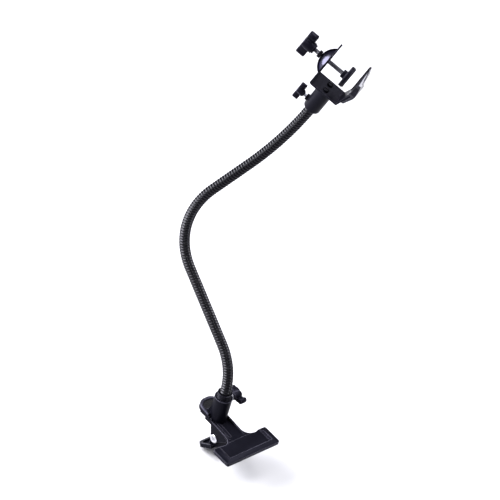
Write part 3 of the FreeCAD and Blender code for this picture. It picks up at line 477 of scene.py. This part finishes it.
def ringed(rows, around, closed=True):
    # a skin over rows of (centre, sideways, forward, radius at each turn)
    points, faces = [], []
    for centre, side, front, radii in rows:
        for k in range(around):
            turn = 2 * math.pi * k / around
            reach = radii[k] if hasattr(radii, "__len__") else radii
            points.append(centre + side * (reach * math.cos(turn)) + front * (reach * math.sin(turn)))
    for row in range(len(rows) - 1):
        for k in range(around):
            after = (k + 1) % around
            faces.append((row * around + k, row * around + after,
                          (row + 1) * around + after, (row + 1) * around + k))
    if closed:
        faces.append(tuple(reversed(range(around))))
        last = (len(rows) - 1) * around
        faces.append(tuple(range(last, last + around)))
    mesh = bpy.data.meshes.new("skin")
    mesh.from_pydata(points, [], faces)
    return mesh


def profileRows(profile, start, axis):
    # profile is (distance along the axis, radius)
    axis = Vector(axis).normalized()
    side = axis.orthogonal().normalized()
    front = axis.cross(side)
    return [(Vector(start) + axis * along, side, front, radius) for along, radius in profile]


def lathed(profile, start, axis, around=64):
    return ringed(profileRows(profile, start, axis), around)


def looped(profile, start, axis, around=64):
    # the profile is closed, and turned round the axis like a ring
    rows = profileRows(profile, start, axis)
    work = bmesh.new()
    work.from_mesh(ringed(rows + rows[:1], around, closed=False))
    bmesh.ops.remove_doubles(work, verts=work.verts, dist=weldGap)
    return finishedMesh(work, "ring")


def joinedMesh(meshes):
    work = bmesh.new()
    for mesh in meshes:
        work.from_mesh(mesh)
    return finishedMesh(work, "whole")


def corners(node):
    data = nodes[node].data
    points = np.zeros(len(data.vertices) * 3)
    data.vertices.foreach_get("co", points)
    return points.reshape(-1, 3)


def along(node, start, axis):
    # where the node lies along an axis, and how far it reaches from it
    axis = np.array(Vector(axis).normalized())
    points = corners(node) - np.array(start)
    spots = points @ axis
    reach = np.linalg.norm(points - np.outer(spots, axis), axis=1)
    return float(spots.min()), float(spots.max()), float(reach.max())


def widest(node, start, axis):
    # the direction from the axis to the node's furthest corner
    axis = np.array(Vector(axis).normalized())
    points = corners(node) - np.array(start)
    flat = points - np.outer(points @ axis, axis)
    reach = np.linalg.norm(flat, axis=1)
    far = flat[reach > reach.max() - 0.0006]
    first = far[0]
    same = far[(far @ first) > 0]
    return Vector(same.mean(axis=0)).normalized()


# ---- axes that the pieces share

neckRoot = Vector((0, joints["neck_swivel"]["pos_m"][1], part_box("neck_base_spigot")[1].z))
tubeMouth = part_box("upper_jaw")[1].z
head = {
    "start": Vector(joints["head_swivel"]["pos_m"]),
    "up": Vector(joints["head_swivel"]["axis"]).normalized(),
    "across": -Vector(joints["pad_travel"]["axis"]).normalized(),
}
head["side"] = head["up"].cross(head["across"])
rodLine = (Vector(joints["clamp_spin"]["pos_m"]), -head["across"])
baseLockLine = (Vector((0, neckRoot.y, joints["base_lock_spin"]["pos_m"][2])), Vector((1, 0, 0)))
headLockLine = (head["start"] + head["up"] * (Vector(joints["head_lock_spin"]["pos_m"])
                                              - head["start"]).dot(head["up"]), -head["across"])


# ---- flexible neck

neck = {
    # (length, degrees turned), from the tube's mouth up: three bends with straight runs between
    "runs": ((0.068, -31.5), (0.107, 0), (0.123, 62), (0.055, 0), (0.114, -13)),
    "plane": -52.3,          # where its plane stands round the tube
    "outer": 0.0059,
    "wirePitch": 0.0037,     # one turn of the wound wire
    "wireDeep": 0.00160,
    "crown": 2.2,            # how broad the top of each turn is
    "rowsPerTurn": 12,
    "around": 40,
    "pastEnd": 0.1,          # the neck goes on straight past its last run
    "intoSocket": 0.012,
    "bendReach": 0.030,      # a distance along the neck each side of a joint; the points it gives are not used
}


def neckPoint(distance):
    across, up, lean, left = 0.0, 0.0, 0.0, distance
    for length, turned in (*neck["runs"], (neck["pastEnd"], 0)):
        step = min(left, length)
        bend = math.radians(turned) * step / length
        if bend:
            radius = step / bend
            across += radius * (math.cos(lean) - math.cos(lean + bend))
            up += radius * (math.sin(lean + bend) - math.sin(lean))
        else:
            across += step * math.sin(lean)
            up += step * math.cos(lean)
        lean += bend
        left -= step
        if left <= 0:
            break
    plane = math.radians(neck["plane"])
    out = Vector((math.cos(plane), math.sin(plane), 0))
    flat = Vector((-math.sin(plane), math.cos(plane), 0))
    rise = Vector((0, 0, 1))
    return (neckRoot + out * across + rise * up, out * math.cos(lean) - rise * math.sin(lean), flat,
            out * math.sin(lean) + rise * math.cos(lean))


def woundSleeve(low, high):
    # a round wire wound tight: the skin dips between its turns and climbs one pitch a turn
    steps = max(2, round((high - low) / neck["wirePitch"] * neck["rowsPerTurn"]))
    turns = np.arange(neck["around"]) / neck["around"]
    rows = []
    for k in range(steps + 1):
        distance = low + (high - low) * k / steps
        centre, side, front, _ = neckPoint(distance)
        phase = (distance / neck["wirePitch"] - turns) % 1.0
        radii = neck["outer"] - neck["wireDeep"] * np.abs(2 * phase - 1) ** neck["crown"]
        rows.append((centre, side, front, radii))
    return ringed(rows, neck["around"])


def makeNeck():
    total = sum(length for length, turned in neck["runs"])
    count = sum(name.startswith("neck_bend_") for name in joints) + 1
    pitch = total / count
    cuts = [0.0] + [pitch * (k + 0.5) for k in range(count)] + [total + neck["intoSocket"]]
    for k in range(count + 1):
        mesh = woundSleeve(cuts[k], cuts[k + 1])
        piece = newPiece(f"neckSleeve{k + 1}", mesh, "neck_coat", sharp=70)
        if k in (0, count):
            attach(piece, f"neck_{max(k, 1)}")
        else:
            centre, _, _, tangent = neckPoint(pitch * k)
            reach = tangent * neck["bendReach"]
            centre - reach
            centre + reach
            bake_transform(piece)
        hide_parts(f"neck_segment_{max(k, 1)}")


makeNeck()
print("stage: neck")

collar = {
    "ribs": 5,
    "deep": 0.8 * mm,
    "bore": 6 * mm,
    "edge": 0.4 * mm,
    "hidden": 1 * mm,        # the ribs start this far inside the tube
    # (share of a rib's pitch, share of its depth), one groove and one rib
    "rib": ((0, 1), (0.22, 1), (0.38, 0.15), (0.55, 0), (0.78, 0), (0.94, 0.3)),
}


def makeCollar():
    # the plug in the tube: plain where it is hidden, ribbed above the tube's mouth
    low, high, radius = along("neck_base_spigot", (0, neckRoot.y, 0), (0, 0, 1))
    rows = [(low, collar["bore"]), (low, radius - collar["edge"]), (low + collar["edge"], radius)]
    start = tubeMouth - collar["hidden"]
    pitch = (high - start) / collar["ribs"]
    rows += [(start + pitch * (k + share), radius - collar["deep"] * sunk)
             for k in range(collar["ribs"]) for share, sunk in collar["rib"]]
    rows += [(high, radius - collar["deep"]), (high, collar["bore"])]
    piece = newPiece("neckCollar", looped(rows, (0, neckRoot.y, 0), (0, 0, 1)), "collar_black", sharp=50)
    stands(piece, "neck_base_spigot")


makeCollar()


# ---- threaded rods

threads = {
    # node: (its line, pitch, thread depth, chamfer, slot)
    "base_lock_rod": (baseLockLine, 0.0008, 0.00042, 0.0006, "zinc_steel"),
    "head_lock_rod": (headLockLine, 0.0007, 0.00036, 0.0005, "zinc_steel"),
    "clamp_rod": (rodLine, 0.0008, 0.00030, 0.0006, "spring_steel"),
}


threadMesh = {"around": 30, "rowsPerTurn": 6}


def makeThreads():
    around, perTurn = threadMesh["around"], threadMesh["rowsPerTurn"]
    for node, ((start, axis), pitch, deep, chamfer, slot) in threads.items():
        low, high, radius = along(node, start, axis)
        side = axis.orthogonal().normalized()
        front = axis.cross(side)
        steps = round((high - low) / pitch * perTurn)
        turns = np.arange(around) / around
        rows = []
        for k in range(steps + 1):
            spot = low + (high - low) * k / steps
            phase = (spot / pitch - turns) % 1.0
            crest = np.clip(1.15 - np.abs(2 * phase - 1) * 1.3, 0, 1)
            fade = min(1.0, (spot - low) / chamfer, (high - spot) / chamfer)
            radii = radius - deep * (1 - crest * fade)
            rows.append((start + axis * spot, side, front, radii))
        stands(newPiece(node + "Thread", ringed(rows, around), slot, sharp=30), node)


makeThreads()
print("stage: collar and threads")


# ---- wing knobs

wingKnobs = {
    # node: (its line, hub's share of the height, swing of each wing, edge)
    "base_lock_knob": (baseLockLine, 0.26, 0.0020, 0.0009),
    "head_lock_knob": (headLockLine, 0.28, 0.0010, 0.0008),
    "clamp_knob": (rodLine, 0.30, 0.0013, 0.0011),
}

knobShape = {
    "thick": 0.50,           # thickness of the wings, as a share of the knob's height
    "steps": 16,
    "capSteps": 10,
    "around": 48,
    "hubWide": 0.82,         # radius of the hub, as a share of the wings' thickness
    # the hub below the wings: (share of the knob's height, share of the hub's radius)
    "foot": ((0, 0.66), (0, 0.80), (0.02, 0.84), (0.12, 0.84), (0.13, 0.96), (0.15, 1)),
    # the hub's boss, down from the knob's top
    "boss": ((0.12, 0.90), (0.03, 0.84), (0, 0.70)),
}


def wingOutline(reach, thick, swing):
    # half of an S from the hub to the tip; the other half is the same turned round
    points = []
    steps, capSteps = knobShape["steps"], knobShape["capSteps"]
    for k in range(steps + 1):
        t = k / steps
        x = (reach - thick * 0.5) * t
        bend = swing * math.sin(math.pi * min(1, t * 1.1))
        wide = thick * (0.62 - 0.16 * math.sin(math.pi * t) + 0.02 * t)
        points.append((x, bend + wide, bend - wide))
    tip, top, low = points[-1]
    middle, half = (top + low) / 2, (top - low) / 2
    upper = [(x, y) for x, y, _ in points]
    lower = [(x, y) for x, _, y in points]
    cap = [(tip + half * 0.9 * math.sin(math.pi * k / capSteps),
            middle + half * math.cos(math.pi * k / capSteps)) for k in range(1, capSteps)]
    return upper + cap + lower[::-1]


def makeKnob(node, line, hubShare, swing, edge):
    start, axis = line
    low, high, reach = along(node, start, axis)
    bar = widest(node, start, axis)
    across = axis.cross(bar)
    tall = high - low
    hubTop = low + tall * hubShare
    thick = tall * knobShape["thick"]
    half = wingOutline(reach, thick, swing)
    outline = half + [(-x, -y) for x, y in half]
    work = bmesh.new()
    rings = []
    layers = [(hubTop, 1 - 1.1 * edge / thick), (hubTop + edge * 0.35, 1 - 0.4 * edge / thick),
              (hubTop + edge, 1.0), (high - edge * 1.4, 1.0), (high - edge * 0.55, 1 - 0.35 * edge / thick),
              (high - edge * 0.12, 1 - 0.9 * edge / thick), (high, 1 - 1.5 * edge / thick)]
    for spot, share in layers:
        inset = (1 - share) * thick
        ring = []
        for k, (x, y) in enumerate(outline):
            before = Vector(outline[k - 1])
            after = Vector(outline[(k + 1) % len(outline)])
            run = after - before
            out = Vector((run.y, -run.x)).normalized()
            ring.append(work.verts.new(start + axis * spot + bar * (x + out.x * inset)
                                       + across * (y + out.y * inset)))
        rings.append(ring)
    count = len(outline)
    for lowRing, highRing in zip(rings[:-1], rings[1:]):
        for k in range(count):
            work.faces.new((lowRing[k], lowRing[(k + 1) % count], highRing[(k + 1) % count], highRing[k]))
    work.faces.new(rings[0][::-1])
    work.faces.new(rings[-1])
    hubWide = thick * knobShape["hubWide"]
    foot = [(low + tall * share, hubWide * wide) for share, wide in knobShape["foot"]]
    boss = [(high - tall * share, hubWide * wide) for share, wide in knobShape["boss"]]
    profile = [(low, pointed), *foot, (hubTop + tall * 0.30, hubWide * 0.98), *boss, (high, pointed)]
    hub = lathed(profile, start, axis, knobShape["around"])
    wings = finishedMesh(work, "wing")
    piece = newPiece(node + "Wing", joinedMesh([wings, hub]), slotOf[node], sharp=42)
    stands(piece, node)


for node, (line, hubShare, swing, edge) in wingKnobs.items():
    makeKnob(node, line, hubShare, swing, edge)
print("stage: knobs")


# ---- dome cup

dome = {"sheet": 1.0 * mm, "rim": 0.6 * mm, "hole": 2.8 * mm, "steps": 22, "around": 96}


def makeDome():
    start, axis = rodLine
    low, high, radius = along("dome_cup", start, axis)
    ballRadius = (radius ** 2 + (high - low) ** 2) / (2 * (high - low))
    centre = high - ballRadius
    mouth = math.acos((low + dome["rim"] - centre) / ballRadius)
    hole = math.asin(dome["hole"] / ballRadius)

    def arc(radius, first, last):
        return [(centre + radius * math.cos(turn), radius * math.sin(turn))
                for turn in np.linspace(first, last, dome["steps"])]

    outer = arc(ballRadius, mouth, hole)
    inner = arc(ballRadius - dome["sheet"], hole * 1.06, mouth)
    rim = [(low, inner[-1][1]), (low, radius - dome["rim"] * 0.3)]
    profile = [(max(spot, low), wide) for spot, wide in outer + inner + rim]
    shell = looped(profile, start, axis, dome["around"])
    stands(newPiece("domeShell", shell, "dome_gloss", sharp=50), "dome_cup")


makeDome()


# ---- pivot caps

pivotCap = {"dimple": 2.6 * mm, "lip": 0.6 * mm, "steps": 9}


def makePivotCaps():
    pivot = Vector(joints["jaw_open"]["pos_m"])
    for node, out in (("pivot_cap_right", 1), ("pivot_cap_left", -1)):
        axis = Vector((out, 0, 0))
        low, high, radius = along(node, pivot, axis)
        lip, dimple = pivotCap["lip"], pivotCap["dimple"]
        profile = [(low, pointed), (low, radius * 0.98), (low + lip * 0.4, radius)]
        profile += [(low + lip + (high - low - lip) * math.sin(turn),
                     radius - (radius - dimple * 1.2) * (1 - math.cos(turn)) * 0.92)
                    for turn in np.linspace(0, math.pi / 2, pivotCap["steps"])]
        profile += [(high - lip * 0.2, dimple * 1.05), (high - lip, dimple * 0.8),
                    (high - lip * 1.15, pointed)]
        stands(newPiece(node + "Turned", lathed(profile, pivot, axis), "bright_nickel", sharp=60), node)


makePivotCaps()
print("stage: dome and pivot caps")


# ---- the upper handle's rim and its studded grip

handleTilt = math.radians(6)
handle = {
    "start": Vector((0, 52 * mm, 3.6 * mm)),      # underside of the upper handle, at its root
    "along": Vector((0, math.cos(handleTilt), math.sin(handleTilt))),
    "rise": Vector((0, -math.sin(handleTilt), math.cos(handleTilt))),
    "long": 21.0 * mm,
    "half": 13.5 * mm,
    "thick": 4.6 * mm,
    "corner": 6.75 * mm,         # the solid's corner
    "grown": 1.7,                # how much rounder the corner is drawn
    "rim": 4.0 * mm,             # width of the raised edge round the grip
    "rimTall": 1.3 * mm,
    "rimSink": 0.2 * mm,         # how far the rim runs into the handle
    "rimRoot": 0.5 * mm,
    "steps": 12,
    "archSteps": 9,
}

gripBlock = {
    "long": 13.6 * mm,           # from its root to the handle's end
    "thick": 0.8 * mm,
    "under": 0.3 * mm,           # the block's top, below the handle's top
    "apart": 2.1 * mm,           # from stud to stud
    "wide": 1.3 * mm,
    "tall": 0.45 * mm,
    "sink": 0.1 * mm,            # how far each stud runs into the block
    "taper": 0.6,
    "margin": 0.9 * mm,
    "first": 1.5 * mm,           # the first row, from the root
    "columns": 4,                # each side of the middle one
    "rows": 5,
}


def handlePoint(across, along, rise):
    return handle["start"] + Vector((across, 0, 0)) + handle["along"] * along + handle["rise"] * rise


def handleOutline(inset, root):
    # up one side, round the free end and back down the other: place and outward direction
    bend = handle["corner"] * handle["grown"]
    middle = (handle["half"] - bend, handle["long"] - bend)
    path = [((handle["half"] - inset, root), (1, 0))]
    for side in (1, -1):
        quarter = np.linspace(0, math.pi / 2, handle["steps"])
        for turn in quarter if side > 0 else quarter[::-1]:
            out = (side * math.cos(turn), math.sin(turn))
            spot = (side * middle[0] + out[0] * (bend - inset), middle[1] + out[1] * (bend - inset))
            path.append((spot, out))
    path.append(((inset - handle["half"], root), (-1, 0)))
    return path


def rounderHandle(point):
    # the handle's two corners grow into one oval end
    flat = Vector(point) - handle["start"]
    fromSide, fromEnd = handle["half"] - abs(flat.x), handle["long"] - flat.dot(handle["along"])
    if flat.y < 0 or max(fromSide, fromEnd) > handle["corner"] * 1.01:
        return point
    across = math.copysign(handle["half"] - fromSide * handle["grown"], flat.x)
    return handlePoint(across, handle["long"] - fromEnd * handle["grown"], flat.dot(handle["rise"]))


def makeHandleRim():
    # a raised round-topped edge that the fingers meet
    rows = []
    half = handle["rim"] / 2
    for (across, along), (outX, outY) in handleOutline(half, handle["rimRoot"]):
        row = []
        for turn in np.linspace(0, math.pi, handle["archSteps"]):
            aside, lift = math.cos(turn) * half * 0.96, math.sin(turn) * handle["rimTall"]
            row.append(handlePoint(across + outX * aside, along + outY * aside,
                                   handle["thick"] - handle["rimSink"] + lift))
        rows.append(row)
    work = bmesh.new()
    grid = [[work.verts.new(point) for point in row] for row in rows]
    for one, after in zip(grid[:-1], grid[1:]):
        for k in range(len(one)):
            work.faces.new((one[k], one[k - 1], after[k - 1], after[k]))
    work.faces.new(grid[0])
    work.faces.new(grid[-1][::-1])
    piece = newPiece("handleRim", finishedMesh(work, "handleRim"), "clamp_plastic", sharp=50)
    rim = stands(piece, "upper_jaw")
    rim.data.materials[0] = finishes["rim_plastic"]


def addPrism(work, outline, base, height, taper=1.0):
    # straight up from the handle's slope, and narrower at its top by the taper
    middle = np.mean(outline, axis=0)
    low, high = ([work.verts.new(handlePoint(*(middle + (np.array(spot) - middle) * share), level))
                  for spot in outline] for level, share in ((base, 1.0), (base + height, taper)))
    work.faces.new(low[::-1])
    work.faces.new(high)
    for k in range(len(outline)):
        work.faces.new((low[k - 1], low[k], high[k], high[k - 1]))


def makeGrip():
    # a rubber block inside the rim, with rows of small studs
    root = handle["long"] - gripBlock["long"]
    top = handle["thick"] - gripBlock["under"]
    outline = [spot for spot, _ in handleOutline(handle["rim"] * 0.9, root)]
    work = bmesh.new()
    addPrism(work, outline, top - gripBlock["thick"], gripBlock["thick"])
    half, inset = gripBlock["wide"] / 2, handle["rim"] + gripBlock["margin"]
    bend = handle["corner"] * handle["grown"] - inset
    middle = (handle["half"] - inset - bend, handle["long"] - inset - bend)
    for column in range(-gripBlock["columns"], gripBlock["columns"] + 1):
        for row in range(gripBlock["rows"]):
            across = column * gripBlock["apart"]
            along = root + gripBlock["first"] + row * gripBlock["apart"]
            past = [max(spot + half - limit, 0) for spot, limit in zip((abs(across), along), middle)]
            if math.hypot(*past) < bend:
                square = [(across + x * half, along + y * half)
                          for x, y in ((-1, -1), (1, -1), (1, 1), (-1, 1))]
                addPrism(work, square, top - gripBlock["sink"], gripBlock["tall"], gripBlock["taper"])
    stands(newPiece("upper_gripStuds", finishedMesh(work, "grip"), "grip_rubber", sharp=25), "upper_grip")


makeHandleRim()
makeGrip()


# ---- moulded and sheet parts keep their own shape, with broken edges

brokenEdges = {
    "upper_jaw": 0.00055, "lower_jaw": 0.0005, "upper_jaw_pad": 0.0003, "lower_jaw_pad": 0.0003,
    "lower_grip": 0.0003, "base_lock_bush": 0.00025, "head_lock_bush": 0.0002,
    "head_socket": 0.0005, "head_bracket": 0.00035, "bracket_screws": 0.0002, "rod_nut": 0.00035,
    "pressure_pad": 0.0005, "pad_facing": 0.0003, "fixed_jaw": 0.0008, "jaw_facing": 0.0004,
}

fixedJaw = {
    # (height up the head, share of the width kept, share of the thickness kept)
    "stations": ((0.0, 1.0, 1.0), (0.0670, 1.0, 1.12), (0.0805, 0.84, 0.62), (0.0915, 0.42, 0.58),
                 (0.2, 0.42, 0.58)),
    "late": 12,              # the arm's first stretch keeps its shape until just below the tongue
    "inner": 0.0210,         # the gripping face stays where it is
}

jawHighlightStrip = {
    # (height up the head, distance across it, half width)
    "corners": ((0.0685, 0.0236, 0.0067), (0.0690, 0.0262, 0.0067), (0.0880, 0.0219, 0.0041)),
}


def makeJawHighlightStrip():
    # a bright nickel strip laid along the tongue to stand in for the highlight on its outer face, a painted
    # highlight
    work = bmesh.new()
    sides = []
    for side in (-1, 1):
        sides.append([work.verts.new(head["start"] + head["across"] * out + head["side"] * (side * half)
                                     + head["up"] * rise) for rise, out, half in jawHighlightStrip["corners"]])
    near, far = sides
    work.faces.new(near)
    work.faces.new(far[::-1])
    for k in range(len(near)):
        work.faces.new((near[k - 1], far[k - 1], far[k], near[k]))
    stands(newPiece("fixedJawHighlightStrip", finishedMesh(work, "highlightStripMesh"), "bright_nickel"), "fixed_jaw")


def tapered(point):
    # the tongue narrows to its tip, and its outer face runs down to it as a long wedge
    flat = Vector(point) - head["start"]
    out, side, rise = (flat.dot(head[way]) for way in ("across", "side", "up"))
    stations = fixedJaw["stations"]
    for (low, wideLow, thickLow), (high, wideHigh, thickHigh) in zip(stations[:-1], stations[1:]):
        if low <= rise < high:
            share = (rise - low) / (high - low)
            if high == stations[1][0]:
                share = share ** fixedJaw["late"]
            side *= wideLow + (wideHigh - wideLow) * share
            if out > fixedJaw["inner"]:
                thick = thickLow + (thickHigh - thickLow) * share
                out = fixedJaw["inner"] + (out - fixedJaw["inner"]) * thick
            break
    return head["start"] + head["across"] * out + head["side"] * side + head["up"] * rise


reshaped = {"fixed_jaw": tapered, "jaw_facing": tapered, "upper_jaw": rounderHandle}
for node, radius in brokenEdges.items():
    rounded(node, radius, moved=reshaped.get(node))
makeJawHighlightStrip()
bpy.data.objects["fixed_jawSoft"].data.materials[0] = finishes["jaw_gloss"]
print("stage: moulded and sheet parts")

for name, thing in nodes.items():
    if not thing.hide_render:
        thing.data.materials.clear()
        thing.data.materials.append(finishes[slotOf[name]])

print("stage: done")
